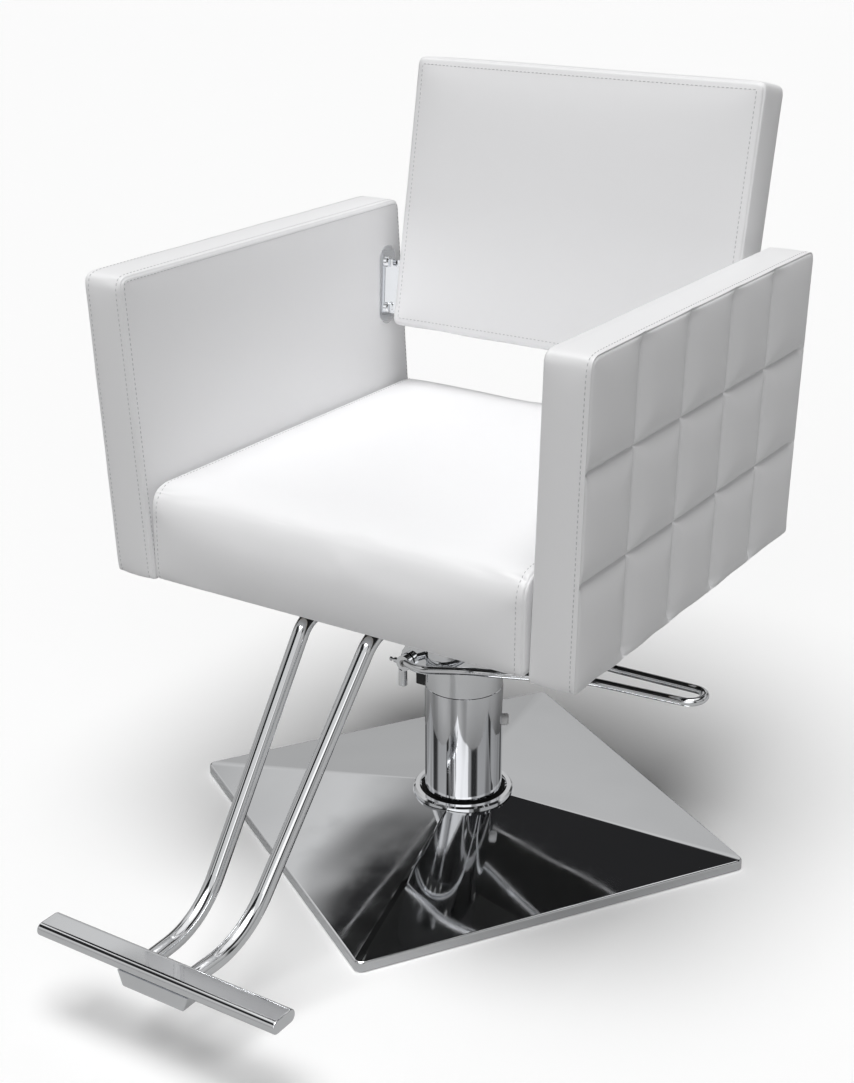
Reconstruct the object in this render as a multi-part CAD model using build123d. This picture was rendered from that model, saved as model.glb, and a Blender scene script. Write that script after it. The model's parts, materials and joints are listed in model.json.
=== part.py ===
from build123d import *
import math
import os

# Hydraulic salon styling chair. Millimetres, +Z up, the chair faces -Y. The origin is on the
# floor on the swivel axis. Left is the -X side, as seen by someone standing in front of it.

# Base: a square chrome pyramid, turned about the column
BASE_SIZE = 510.0
BASE_TURN = -32.0
LIP_BOTTOM = 1.0
LIP_TOP = 13.0
APEX_Z = 52.0
SKIN = 1.5
CORNER_R = 9.0
PAD_TOP = 3.0
PLATE_TOP = 8.0
PLATE_SIZE = 480.0
FLANGE_TOP = 19.0
HUB_R = 44.0
HUB_TOP = 44.0
RING_R = 62.6
RING_BOTTOM = 41.0
RING_TOP = 50.0
RECESS_R = 53.0

# Lift column
COLUMN_R = 38.0
COLUMN_BORE = 30.0
COLUMN_TOP = 306.0
RAM_R = 20.0
RAM_TOP = 322.0
SPIGOT_R = 14.0
PISTON_Z = 60.0
RUN = 0.05
RACE_R = 30.0
BALL_R = 3.0
BALL_PITCH_R = 22.0
BALL_COUNT = 14

# Pump head and cover tube
TUBE_R = 48.5
TUBE_WALL = 2.0
TUBE_BOTTOM = 52.0
SEAM_Z = 192.0
HEAD_R = 48.0
HEAD_BORE = 42.0
HEAD_TOP = 350.0
PIVOT = (-72.0, 0.0, 210.0)
PIN_R = 5.0
EAR_IN = 10.0
EAR_OUT = 18.0
EYE_Y = 24.0
EYE_R = 10.0
EYE_WIDTH = 9.0
LEVER_R = 5.0
PLUNGER_X = -58.0
PLUNGER_TOP = 205.7
PLUNGER_LENGTH = 14.7
BARREL_TOP = 197.0
BARREL_BOTTOM = 177.0
FINGER_HUB_R = 8.0

# Seat
SEAT_HALF = 244.7
SEAT_FRONT = -284.0
SEAT_BACK = 258.0
SEAT_BOTTOM = 375.0
SEAT_TOP = 488.0
BOARD_HALF = 236.0
BOARD_FRONT = -268.0
BOARD_BACK = 250.0
DUST_BOTTOM = 376.0
BOARD_BOTTOM = 377.0
BOARD_TOP = 392.0
RAIL_TOP = 440.0
RAIL_WIDTH = 22.0
TOP_PLATE_TOP = 356.0

# Arms, flared: inner and outer faces and front and back faces at the bottom and at the top
ARM_BOTTOM = 370.0
ARM_TOP = 724.0
ARM_LOW = (246.0, 304.0, -280.0, 263.0)
ARM_HIGH = (261.0, 316.5, -290.5, 251.0)
ARM_PADDING = 12.0
LINING = 0.8

# Backrest
BACK_HALF = 237.3
BACK_HEIGHT = 343.0
BACK_THICK = 60.0
BACK_TILT = 10.7
BACK_Y = 195.0
BACK_Z = 569.0
BACK_BOARD_FRONT = 22.0
BACK_BOARD_THICK = 15.0
BACK_BOARD_INSET = 12.0

# Footrest
TUBE_19_R = 9.5
TUBE_19_WALL = 2.0
STAY_TOP_X = 44.0
STAY_TOP_Y = -262.0
STAY_TOP_Z = 365.5
STAY_END_Y = -106.0
STAY_LOW_X = 30.0
STAY_LOW_Y = -480.0
STAY_LOW_Z = 100.0
BAR_X = 155.0
BAR_Y = -576.0
BAR_Z = 106.0
BAR_DEPTH = 35.0
BAR_THICK = 15.0
CAP = 3.0

ARM_BOLT_Y = (-190.0, 0.0, 150.0)
ARM_BOLT_Z = 416.0
FRAME_Y = 90.0
FRAME_X = 95.0
FRAME_WIDTH = 30.0
CLAMP_BOLT_X = (-62.0, -20.0, 20.0, 62.0)
CLAMP_Y = -170.0


def block(x0, x1, y0, y1, z0, z1):
    """Box between two corners."""
    centre = Pos((x0 + x1) / 2, (y0 + y1) / 2, (z0 + z1) / 2)
    return centre * Box(x1 - x0, y1 - y0, z1 - z0)


def disc(radius, z0, z1, x=0.0, y=0.0):
    """Upright cylinder."""
    return Pos(x, y, (z0 + z1) / 2) * Cylinder(radius, z1 - z0)


def annulus(outer, inner, z0, z1, x=0.0, y=0.0):
    """Upright ring with a plain bore."""
    return disc(outer, z0, z1, x, y) - disc(inner, z0 - 1, z1 + 1, x, y)


def along_x(radius, x0, x1, y, z):
    """Cylinder parallel to X."""
    return Pos((x0 + x1) / 2, y, z) * Rot(0, 90, 0) * Cylinder(radius, x1 - x0)


def along_y(radius, y0, y1, x, z):
    """Cylinder parallel to Y."""
    return Pos(x, (y0 + y1) / 2, z) * Rot(90, 0, 0) * Cylinder(radius, y1 - y0)


def hexagon_head(across_corners, z0, z1, x, y):
    """Upright hexagonal bolt head."""
    return Pos(x, y, z0) * extrude(RegularPolygon(across_corners, 6), z1 - z0)


def mirrored(shape):
    """The same piece on the other side of the chair."""
    return mirror(shape, about=Plane.YZ)


def group(solids):
    """Separate identical solids that share one node."""
    return Compound([piece for item in solids for piece in item.solids()])


def rod_on(points, radii, outer, inner=0.0):
    """Round bar or tube swept along straight runs joined by tangent arcs."""
    path = FilletPolyline(*points, radius=radii)
    section = Circle(outer) - Circle(inner) if inner else Circle(outer)
    start = Plane(origin=path @ 0, z_dir=path % 0)
    return sweep(start * section, path=path)


# ---- Base -----------------------------------------------------------------------------------

def slope(half, edge_z, apex_z):
    """Rise of a pyramid face per millimetre towards the middle."""
    return (apex_z - edge_z) / half


def pyramid(half, bottom, edge_z, apex_z, seat_r, seat_z, edge_round):
    """Solid below one skin of the base: upright lip, four sloping faces, flat round seat."""
    top_half = 40.0
    top_z = apex_z - slope(half, edge_z, apex_z) * top_half
    outline = RectangleRounded(2 * half, 2 * half, CORNER_R)
    summit = RectangleRounded(2 * top_half, 2 * top_half, CORNER_R * top_half / half)
    solid = Pos(0, 0, bottom) * extrude(outline, edge_z - bottom)
    solid += loft([Pos(0, 0, edge_z) * outline, Pos(0, 0, top_z) * summit])
    if edge_round:
        rim = [e for e in solid.edges() if abs(e.center().Z - edge_z) < 0.1]
        solid = fillet(rim, edge_round)
    return solid - disc(seat_r, seat_z, apex_z + 5)


def base_cover():
    half = BASE_SIZE / 2
    outer = pyramid(half, LIP_BOTTOM, LIP_TOP, APEX_Z, RING_R + 1, RING_BOTTOM, 3.0)
    inner = pyramid(half - SKIN, LIP_BOTTOM - 1, LIP_TOP - SKIN, APEX_Z - SKIN,
                    RING_R + 1 + SKIN, RING_BOTTOM - SKIN, 0.0)
    shell = outer - inner - disc(HUB_R + 0.2, 20, 60)
    return Rot(0, 0, BASE_TURN) * shell


def floor_pad():
    half = BASE_SIZE / 2 - SKIN - 3
    return Rot(0, 0, BASE_TURN) * extrude(RectangleRounded(2 * half, 2 * half, CORNER_R), PAD_TOP)


def ballast_plate():
    sheet = extrude(RectangleRounded(PLATE_SIZE, PLATE_SIZE, CORNER_R), PLATE_TOP - PAD_TOP)
    plate = Pos(0, 0, PAD_TOP) * sheet
    for x, y in flange_bolt_places():
        plate -= disc(5.0, PAD_TOP + 1, PLATE_TOP + 1, x, y)
    return Rot(0, 0, BASE_TURN) * plate


def base_ribs():
    """Four upright ribs that carry the ridges of the cover on the ballast plate."""
    rise = slope(BASE_SIZE / 2, LIP_TOP, APEX_Z) / math.sqrt(2)
    inner, outer, gap = 86.0, 318.0, 3.0
    profile = make_face(Polyline(
        (inner, PLATE_TOP),
        (outer, PLATE_TOP),
        (outer, APEX_Z - rise * outer - gap),
        (inner, APEX_Z - rise * inner - gap),
        (inner, PLATE_TOP),
    ))
    rib = extrude(Plane.XZ * profile, 1.5, both=True)
    return group([Rot(0, 0, BASE_TURN + 45 + 90 * k) * rib for k in range(4)])


def flange_bolt_places():
    reach = 62.0
    turns = [math.radians(90 * k) for k in range(4)]
    return [(reach * math.cos(t), reach * math.sin(t)) for t in turns]


def column_flange():
    flange = disc(78.0, PLATE_TOP, FLANGE_TOP) + disc(HUB_R, FLANGE_TOP, HUB_TOP)
    flange -= disc(COLUMN_R, PLATE_TOP + 4, HUB_TOP + 1)
    for x, y in flange_bolt_places():
        flange -= disc(5.0, PLATE_TOP - 1, FLANGE_TOP + 1, x, y)
    return Rot(0, 0, BASE_TURN) * flange


def flange_bolts():
    bolts = []
    for x, y in flange_bolt_places():
        bolt = disc(5.0, PAD_TOP + 1, FLANGE_TOP, x, y)
        bolts.append(bolt + hexagon_head(9.2, FLANGE_TOP, FLANGE_TOP + 7, x, y))
    return group([Rot(0, 0, BASE_TURN) * bolt for bolt in bolts])


def base_ring():
    """Chrome ring screwed on the hub; it clamps the cover and frames the tube."""
    ring = annulus(RING_R, HUB_R, RING_BOTTOM, RING_TOP)
    ring -= disc(RECESS_R, HUB_TOP, RING_TOP + 1)
    rim = ring.edges().filter_by(GeomType.CIRCLE).group_by(Axis.Z)[-1]
    return chamfer(rim, 2.2)


def ring_bumper():
    return annulus(RECESS_R - 0.2, COLUMN_R + 0.4, HUB_TOP, HUB_TOP + 3)


# ---- Lift column ----------------------------------------------------------------------------

def column_cylinder():
    tube = disc(COLUMN_R, PLATE_TOP + 4, COLUMN_TOP)
    tube -= disc(COLUMN_BORE, FLANGE_TOP + 6, COLUMN_TOP + 1)
    return tube


def cylinder_bush():
    return annulus(COLUMN_BORE, RAM_R + RUN, COLUMN_TOP - 46, COLUMN_TOP - 6)


def wiper_seal():
    return annulus(COLUMN_BORE, RAM_R + RUN, COLUMN_TOP - 6, COLUMN_TOP)


def gland_nut():
    nut = annulus(COLUMN_R, RAM_R + 1, COLUMN_TOP, COLUMN_TOP + 8)
    return chamfer(nut.edges().group_by(Axis.Z)[-1], 1.0)


def ram_rod():
    rod = disc(RAM_R, PISTON_Z + 24, RAM_TOP) + disc(SPIGOT_R - 2, PISTON_Z, PISTON_Z + 24)
    return rod + disc(SPIGOT_R, RAM_TOP, HEAD_TOP - 5)


def piston():
    body = annulus(COLUMN_BORE - RUN, SPIGOT_R - 2, PISTON_Z, PISTON_Z + 24)
    return body - annulus(COLUMN_BORE + 1, COLUMN_BORE - 4, PISTON_Z + 9, PISTON_Z + 15)


def piston_seal():
    return annulus(COLUMN_BORE - RUN, COLUMN_BORE - 4, PISTON_Z + 9, PISTON_Z + 15)


def bearing_lower_race():
    return annulus(RACE_R - 1, SPIGOT_R, RAM_TOP, RAM_TOP + 4)


def bearing_upper_race():
    bottom = RAM_TOP + 4 + 2 * BALL_R
    return annulus(RACE_R, SPIGOT_R + 0.5, bottom, bottom + 4)


def bearing_balls():
    balls = []
    for k in range(BALL_COUNT):
        place = Rot(0, 0, 360 / BALL_COUNT * k) * Pos(BALL_PITCH_R, 0, RAM_TOP + 4 + BALL_R)
        balls.append(place * Sphere(BALL_R - 0.02))
    return group(balls)


# ---- Pump head ------------------------------------------------------------------------------

def lever_lug():
    """Bracket cast on the head: two ears for the pivot pin under a sloping bridge."""
    x, _, z = PIVOT
    profile = Plane.XZ * make_face(Polyline(
        (-40, z - 13), (x, z - 11), (x - 11, z), (x - 8, z + 12), (x + 10, z + 42), (-40, z + 60),
        (-40, z - 13),
    ))
    profile += Plane.XZ * Pos(x, z) * Circle(11)
    lug = extrude(profile, EAR_OUT, both=True)
    lug -= block(-100, 0, -EAR_IN, EAR_IN, 190, z + 18)
    return lug - along_y(PIN_R + RUN, -30, 30, x, z)


def head_bolt_places():
    reach = 39.0
    turns = [math.radians(45 + 90 * k) for k in range(4)]
    return [(reach * math.cos(t), reach * math.sin(t)) for t in turns]


def pump_head():
    head = disc(HEAD_R, SEAM_Z, HEAD_TOP) + disc(TUBE_R - TUBE_WALL, SEAM_Z - 15, SEAM_Z)
    head += lever_lug()
    head -= disc(HEAD_BORE, SEAM_Z - 20, RAM_TOP)
    head -= disc(RACE_R, RAM_TOP - 1, RAM_TOP + 8 + 2 * BALL_R)
    head -= disc(SPIGOT_R + RUN, RAM_TOP, HEAD_TOP - 4)
    for x, y in head_bolt_places():
        head -= disc(4.0, HEAD_TOP - 16, HEAD_TOP + 1, x, y)
    return head


def cover_tube():
    tube = annulus(TUBE_R, TUBE_R - TUBE_WALL, TUBE_BOTTOM, SEAM_Z)
    return chamfer(tube.edges().group_by(Axis.Z)[-1].sort_by(SortBy.LENGTH)[-1], 0.8)


def guide_bush():
    return annulus(TUBE_R - TUBE_WALL, COLUMN_R + RUN, TUBE_BOTTOM + 4, TUBE_BOTTOM + 34)


def tube_screw():
    """Capped set screw that holds the cover tube on the guide bush's carrier."""
    turn = 30.0
    screw = along_x(7.5, TUBE_R - 0.6, TUBE_R + 7.5, 0, 142)
    screw = chamfer(screw.edges().group_by(Axis.X)[-1], 1.5)
    screw = Rot(0, 0, turn) * screw
    return screw - disc(TUBE_R, 130, 170)


def plunger_barrel():
    barrel = block(-67, -40, -9, 9, BARREL_BOTTOM, BARREL_TOP)
    barrel = fillet(barrel.edges().filter_by(Axis.Z).group_by(Axis.X)[0], 4)
    barrel -= disc(HEAD_R, SEAM_Z, BARREL_TOP + 1)
    barrel -= disc(TUBE_R, BARREL_BOTTOM - 1, SEAM_Z)
    return barrel - disc(4 + RUN, BARREL_BOTTOM + 4, BARREL_TOP + 1, PLUNGER_X)


def pump_plunger():
    rod = disc(4.0, PLUNGER_TOP - PLUNGER_LENGTH, PLUNGER_TOP - 2, PLUNGER_X)
    return rod + disc(5.5, PLUNGER_TOP - 2, PLUNGER_TOP, PLUNGER_X)


def plunger_boot():
    """Rubber bellows between the barrel and the plunger's head."""
    top = PLUNGER_TOP - 2.1
    folds = 3
    step = (top - BARREL_TOP) / folds
    points = [(5.0, BARREL_TOP)]
    for k in range(folds):
        points.append((8.0, BARREL_TOP + step * (k + 0.5)))
        points.append((6.4, BARREL_TOP + step * (k + 1)))
    points.append((5.0, top))
    points.append(points[0])
    wall = revolve(Plane.XZ * make_face(Polyline(*points)), Axis.Z)
    return Pos(PLUNGER_X, 0, 0) * wall


# ---- Foot lever -----------------------------------------------------------------------------

def pump_lever_loop():
    """One bent bar, with an eye welded on each end, that passes both sides of the head."""
    x, _, z = PIVOT
    side = [(x, EYE_Y, z), (-32, 54, 222), (34, 57, 239), (190, 22, 252), (319, 18, 256)]
    points = side + [(px, -py, pz) for px, py, pz in reversed(side)]
    radii = [60, 90, 120, 17.9, 17.9, 120, 90, 60]
    loop = rod_on(points, radii, LEVER_R)
    for y in (-EYE_Y, EYE_Y):
        loop += along_y(EYE_R, y - EYE_WIDTH / 2, y + EYE_WIDTH / 2, x, z)
    return loop - along_y(PIN_R, -40, 40, x, z)


def lever_pivot_pin():
    x, _, z = PIVOT
    end = EYE_Y + EYE_WIDTH / 2
    pin = along_y(PIN_R, -end, end, x, z)
    socket = Plane(origin=(x, -end + 4, z), z_dir=(0, -1, 0)) * RegularPolygon(3.2, 6)
    return pin - extrude(socket, 6)


def pump_finger():
    x, _, z = PIVOT
    finger = along_y(FINGER_HUB_R, -4, 4, x, z) + along_y(4, -4, 4, PLUNGER_X, z)
    finger += block(x, PLUNGER_X, -4, 4, z - 1, z + 4)
    return finger - along_y(PIN_R, -10, 10, x, z)


def return_springs():
    x, _, z = PIVOT
    path = Helix(pitch=1.7, height=3.6, radius=7.4)
    wire = sweep(Plane(origin=path @ 0, z_dir=path % 0) * Circle(0.7), path=path)
    coil = Pos(x, 9.0, z) * Rot(90, 0, 0) * wire
    return group([coil, mirror(coil, about=Plane.XZ)])


def stop_screw():
    x, _, z = PIVOT
    screw = disc(5.5, z - 32, z - 5, x - 3, -EYE_Y)
    screw = chamfer(screw.edges().group_by(Axis.Z)[0], 0.8)
    return screw - along_y(EYE_R, -40, 0, x, z)


def grease_nipple():
    x, _, z = PIVOT
    nipple = along_x(3.4, x - 15, x - 5, -EYE_Y, z) + along_x(1.8, x - 19, x - 15, -EYE_Y, z)
    head = along_x(2.8, x - 22, x - 19, -EYE_Y, z)
    nipple += chamfer(head.edges(), 0.8)
    return nipple - along_y(EYE_R, -40, 0, x, z)


# ---- Seat structure -------------------------------------------------------------------------

def plate_bolt_places():
    return [(x, y) for x in (-FRAME_X, FRAME_X) for y in (-FRAME_Y, FRAME_Y)]


def top_plate():
    plate = block(-115, 115, -105, 105, HEAD_TOP, TOP_PLATE_TOP)
    plate = fillet(plate.edges().filter_by(Axis.Z), 10)
    for x, y in head_bolt_places():
        plate -= disc(4.0, 340, 360, x, y)
    for x, y in plate_bolt_places():
        plate -= disc(4.0, 340, 360, x, y)
    return plate


def head_bolts():
    bolts = []
    for x, y in head_bolt_places():
        bolt = disc(4.0, HEAD_TOP - 15, TOP_PLATE_TOP, x, y)
        bolts.append(bolt + hexagon_head(7.5, TOP_PLATE_TOP, TOP_PLATE_TOP + 5, x, y))
    return group(bolts)


def plate_bolts():
    bolts = []
    for x, y in plate_bolt_places():
        bolt = disc(4.0, HEAD_TOP, BOARD_TOP - 3, x, y)
        bolts.append(bolt + hexagon_head(7.5, HEAD_TOP - 5, HEAD_TOP, x, y))
    return group(bolts)


def frame_lattice(width, x_reach, y_reach, z0, z1):
    """Two bars along X crossed by two bars along Y."""
    half = width / 2
    bars = [block(-x_reach, x_reach, y - half, y + half, z0, z1) for y in (-FRAME_Y, FRAME_Y)]
    bars += [block(x - half, x + half, -y_reach, y_reach, z0, z1) for x in (-FRAME_X, FRAME_X)]
    return bars[0] + bars[1] + bars[2] + bars[3]


def seat_frame():
    """Welded frame of rectangular steel tube under the seat board."""
    wall = 2.0
    frame = frame_lattice(FRAME_WIDTH, 230, FRAME_Y, TOP_PLATE_TOP, DUST_BOTTOM)
    frame -= frame_lattice(FRAME_WIDTH - 2 * wall, 240, FRAME_Y, TOP_PLATE_TOP + wall,
                           DUST_BOTTOM - wall)
    for x, y in plate_bolt_places():
        frame -= disc(4.0, 350, 380, x, y)
    return frame


def seat_board():
    board = block(-BOARD_HALF, BOARD_HALF, BOARD_FRONT, BOARD_BACK, BOARD_BOTTOM, BOARD_TOP)
    for x, y in plate_bolt_places():
        board -= disc(4.0, 370, BOARD_TOP - 3, x, y)
    for x in CLAMP_BOLT_X:
        board -= disc(3.5, 370, BOARD_TOP - 3, x, CLAMP_Y)
    return board


def seat_dust_cover():
    sheet = block(-BOARD_HALF, BOARD_HALF, BOARD_FRONT, BOARD_BACK, DUST_BOTTOM, BOARD_BOTTOM)
    for x, y in plate_bolt_places():
        sheet -= disc(4.0, 370, 380, x, y)
    for x in CLAMP_BOLT_X:
        sheet -= disc(3.5, 370, 380, x, CLAMP_Y)
    return sheet


def seat_rails():
    """Timber ring glued on the board; the arms are bolted to its sides."""
    ring = block(-BOARD_HALF, BOARD_HALF, BOARD_FRONT, BOARD_BACK, BOARD_TOP, RAIL_TOP)
    inner = BOARD_HALF - RAIL_WIDTH
    ring -= block(-inner, inner, BOARD_FRONT + RAIL_WIDTH, BOARD_BACK - RAIL_WIDTH, 380, 460)
    return ring - arm_bolts()


def seat_cushion():
    cushion = block(-SEAT_HALF, SEAT_HALF, SEAT_FRONT, SEAT_BACK, SEAT_BOTTOM, SEAT_TOP)
    top_front = cushion.edges().filter_by(Axis.X).group_by(Axis.Y)[0].sort_by(Axis.Z)[-1]
    cushion = fillet(top_front, 24)
    sides = cushion.edges().filter_by(Axis.Y).group_by(Axis.Z)[-1]
    cushion = fillet(sides, 8)
    cushion -= block(-BOARD_HALF, BOARD_HALF, BOARD_FRONT, BOARD_BACK, 370, BOARD_TOP)
    return cushion - seat_rails() - arm_bolts()


# ---- Arms -----------------------------------------------------------------------------------

def arm_section(z, inset, corner):
    """Outline of the right arm at one height, drawn in by inset on every side."""
    t = (z - ARM_BOTTOM) / (ARM_TOP - ARM_BOTTOM)
    x0, x1, y0, y1 = [low + (high - low) * t for low, high in zip(ARM_LOW, ARM_HIGH)]
    outline = RectangleRounded(x1 - x0 - 2 * inset, y1 - y0 - 2 * inset, corner)
    return Pos((x0 + x1) / 2, (y0 + y1) / 2, z) * outline


def arm_face_x(z):
    """Where the right arm's inner face is at one height."""
    return ARM_LOW[0] + (ARM_HIGH[0] - ARM_LOW[0]) * (z - ARM_BOTTOM) / (ARM_TOP - ARM_BOTTOM)


def right_arm_core():
    bottom, top = ARM_BOTTOM + ARM_PADDING, ARM_TOP - ARM_PADDING
    core = loft([arm_section(z, ARM_PADDING, 2.0) for z in (bottom, top)])
    return core - arm_bolts() - bracket_bolts()


def right_arm_pad():
    pad = loft([arm_section(z, 0.0, 7.0) for z in (ARM_BOTTOM, ARM_TOP)])
    ends = pad.edges().group_by(Axis.Z)
    pad = fillet(ends[-1] + ends[0], 5.0)
    bottom, top = ARM_BOTTOM + ARM_PADDING, ARM_TOP - ARM_PADDING
    pad -= loft([arm_section(z, ARM_PADDING, 2.0) for z in (bottom, top)])
    return pad - arm_bolts() - bracket_bolts()


def right_arm_lining():
    """Thin black cloth stapled under the arm."""
    cloth = extrude(arm_section(ARM_BOTTOM, 8.0, 2.0), LINING)
    return Pos(0, 0, -LINING) * cloth


def arm_bolts():
    """Three bolts a side from inside the seat rails into the arm's core."""
    inner = BOARD_HALF - RAIL_WIDTH
    bolts = []
    for y in ARM_BOLT_Y:
        bolt = along_x(4.0, inner, 284, y, ARM_BOLT_Z) + along_x(8.0, inner - 6, inner, y, ARM_BOLT_Z)
        bolts += [bolt, mirrored(bolt)]
    return group(bolts)


# ---- Backrest -------------------------------------------------------------------------------

BACK_FRAME = Pos(0, BACK_Y, BACK_Z) * Rot(-BACK_TILT, 0, 0)
BRACKET_Y = 210.0
BRACKET_Z = 618.0
BRACKET_TILT = 5.0
BRACKET_LENGTH = 102.0
BRACKET_WIDTH = 36.0
BRACKET_PLATE = 4.0
EAR_PLATE = 3.0
SCREW_HEIGHTS = (32.0, 78.0)


def backrest_board():
    inset = BACK_BOARD_INSET
    board = block(-BACK_HALF + inset, BACK_HALF - inset, BACK_BOARD_FRONT,
                  BACK_BOARD_FRONT + BACK_BOARD_THICK, inset, BACK_HEIGHT - inset)
    return BACK_FRAME * board - bracket_screws()


def backrest_cushion():
    cushion = block(-BACK_HALF, BACK_HALF, 0, BACK_THICK, 0, BACK_HEIGHT)
    cushion = fillet(cushion.edges().filter_by(Axis.Y), 10)
    cushion = fillet(cushion.edges().group_by(Axis.Y)[0] + cushion.edges().group_by(Axis.Y)[-1], 6)
    inset = BACK_BOARD_INSET
    cushion -= block(-BACK_HALF + inset, BACK_HALF - inset, BACK_BOARD_FRONT,
                     BACK_BOARD_FRONT + BACK_BOARD_THICK, inset, BACK_HEIGHT - inset)
    return BACK_FRAME * cushion - bracket_screws()


def bracket_plane():
    """Plane on the right arm's inner face; its normal points to the middle of the chair."""
    lean = (ARM_HIGH[0] - ARM_LOW[0]) / (ARM_TOP - ARM_BOTTOM)
    place = (arm_face_x(BRACKET_Z), BRACKET_Y, BRACKET_Z)
    return Plane(origin=place, x_dir=(0, 1, 0), z_dir=(-1, 0, lean))


def bracket_bolt_spots():
    """Bolt centres on the bracket's plane, whose second axis points down."""
    offset = 30.0
    t = math.radians(BRACKET_TILT)
    return [(offset * math.sin(t) * s, -offset * math.cos(t) * s) for s in (-1, 1)]


def bracket_bolts():
    bolts = []
    for u, v in bracket_bolt_spots():
        spot = bracket_plane() * Pos(u, v, 0)
        bolt = spot * Pos(0, 0, (BRACKET_PLATE - 32) / 2) * Cylinder(4.0, 32 + BRACKET_PLATE)
        dome = spot * Pos(0, 0, BRACKET_PLATE + 2) * Cylinder(7.0, 4)
        bolt += chamfer(dome.edges().sort_by(Axis.X)[0], 1.6)
        bolts += [bolt, mirrored(bolt)]
    return group(bolts)


def bracket_screws():
    """Screws through the bracket's inner ear into the edge of the backrest board."""
    seat = BACK_HALF + EAR_PLATE
    y = BACK_BOARD_FRONT + BACK_BOARD_THICK / 2
    screws = []
    for z in SCREW_HEIGHTS:
        screw = along_x(2.6, 196, seat, y, z) + along_x(5.5, seat, seat + 3, y, z)
        screw = BACK_FRAME * screw
        screws += [screw, mirrored(screw)]
    return group(screws)


def right_back_bracket():
    """Folded steel bracket: round-ended plate on the arm, web, and ear on the backrest."""
    plate = bracket_plane() * Rot(0, 0, BRACKET_TILT) * extrude(
        Rot(0, 0, 90) * SlotOverall(BRACKET_LENGTH, BRACKET_WIDTH), BRACKET_PLATE)
    ear = BACK_FRAME * block(BACK_HALF, BACK_HALF + EAR_PLATE, 12, 48, 10, 96)
    web = BACK_FRAME * block(BACK_HALF, arm_face_x(BRACKET_Z) - 1.8, 14, 18, 14, 84)
    bracket = plate + ear + web
    return bracket - bracket_bolts() - bracket_screws()


# ---- Footrest -------------------------------------------------------------------------------

def bar_profile(inset):
    return SlotOverall(BAR_DEPTH - 2 * inset, BAR_THICK - 2 * inset)


def bar_solid(inset, x0, x1):
    """Flat-oval bar along X, drawn in by inset all round."""
    plane = Plane(origin=(x0, BAR_Y, BAR_Z), x_dir=(0, 1, 0), z_dir=(1, 0, 0))
    return extrude(plane * bar_profile(inset), x1 - x0)


def footrest_bar():
    end = BAR_X - CAP
    return bar_solid(0, -end, end) - bar_solid(2.0, -end - 1, end + 1) - footrest_bolts()


def footrest_end_caps():
    end = BAR_X - CAP
    cap = bar_solid(0, end, BAR_X)
    cap = fillet(cap.edges().group_by(Axis.X)[-1], 1.5) + bar_solid(2.0, end - 10, end)
    return group([cap, mirrored(cap)])


def right_footrest_tube():
    points = [
        (STAY_TOP_X, STAY_END_Y, STAY_TOP_Z),
        (STAY_TOP_X, STAY_TOP_Y, STAY_TOP_Z),
        (STAY_LOW_X, STAY_LOW_Y, STAY_LOW_Z),
        (STAY_LOW_X - 2, BAR_Y + 10, STAY_LOW_Z),
    ]
    tube = rod_on(points, [40, 105], TUBE_19_R, TUBE_19_R - TUBE_19_WALL)
    return tube - bar_solid(0, -BAR_X, BAR_X)


def footrest_bracket():
    """Folded box with tapered ends under the middle of the bar."""
    top = BAR_Z - BAR_THICK / 2
    height, wall, front, back = 17.0, 2.5, BAR_Y - 15, BAR_Y + 9.5

    def prism(half_top, half_bottom, z0, y0, y1):
        face = make_face(Polyline(
            (-half_top, top), (half_top, top), (half_bottom, z0), (-half_bottom, z0), (-half_top, top)
        ))
        return Pos(0, y1, 0) * extrude(Plane.XZ * face, y1 - y0)

    box = prism(46, 40, top - height, front, back)
    box = fillet(box.edges().filter_by(Axis.Y).group_by(Axis.Z)[0], 2.4)
    box -= prism(46 - wall, 40 - wall, top - height + wall, front + wall, back - wall)
    return box - footrest_bolts()


def footrest_bolts():
    bottom = BAR_Z - BAR_THICK / 2 - 17
    bolts = []
    for x in (-20, 20):
        bolt = disc(3.0, bottom, BAR_Z + 3, x, BAR_Y)
        bolts.append(bolt + hexagon_head(5.8, bottom - 4, bottom, x, BAR_Y))
    return group(bolts)


def footrest_clamp():
    clamp = block(-72, 72, CLAMP_Y - 30, CLAMP_Y + 30, TOP_PLATE_TOP - 4, DUST_BOTTOM)
    for x in (-STAY_TOP_X, STAY_TOP_X):
        clamp -= along_y(TUBE_19_R, CLAMP_Y - 40, CLAMP_Y + 40, x, STAY_TOP_Z)
    for x in CLAMP_BOLT_X:
        clamp -= disc(3.5, 340, 380, x, CLAMP_Y)
    return clamp


def clamp_bolts():
    bottom = TOP_PLATE_TOP - 4
    bolts = []
    for x in CLAMP_BOLT_X:
        bolt = disc(3.5, bottom, BOARD_TOP - 3, x, CLAMP_Y)
        bolts.append(bolt + hexagon_head(6.6, bottom - 5, bottom, x, CLAMP_Y))
    return group(bolts)


# ---- Output ---------------------------------------------------------------------------------

SINGLE = [
    floor_pad, ballast_plate, base_ribs, base_cover, column_flange, flange_bolts, base_ring,
    ring_bumper, column_cylinder, cylinder_bush, wiper_seal, gland_nut, ram_rod, piston,
    piston_seal, bearing_lower_race, bearing_upper_race, bearing_balls, pump_head, cover_tube,
    guide_bush, tube_screw, plunger_barrel, plunger_boot, pump_plunger, pump_lever_loop,
    lever_pivot_pin, pump_finger, return_springs, stop_screw, grease_nipple, top_plate,
    head_bolts, plate_bolts, seat_frame, seat_board, seat_dust_cover, seat_rails, seat_cushion,
    arm_bolts, backrest_board, backrest_cushion, bracket_bolts, bracket_screws, footrest_bar,
    footrest_end_caps, footrest_bracket, footrest_bolts, footrest_clamp, clamp_bolts,
]
PAIRS = [
    right_arm_core, right_arm_pad, right_arm_lining, right_back_bracket, right_footrest_tube,
]


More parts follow.
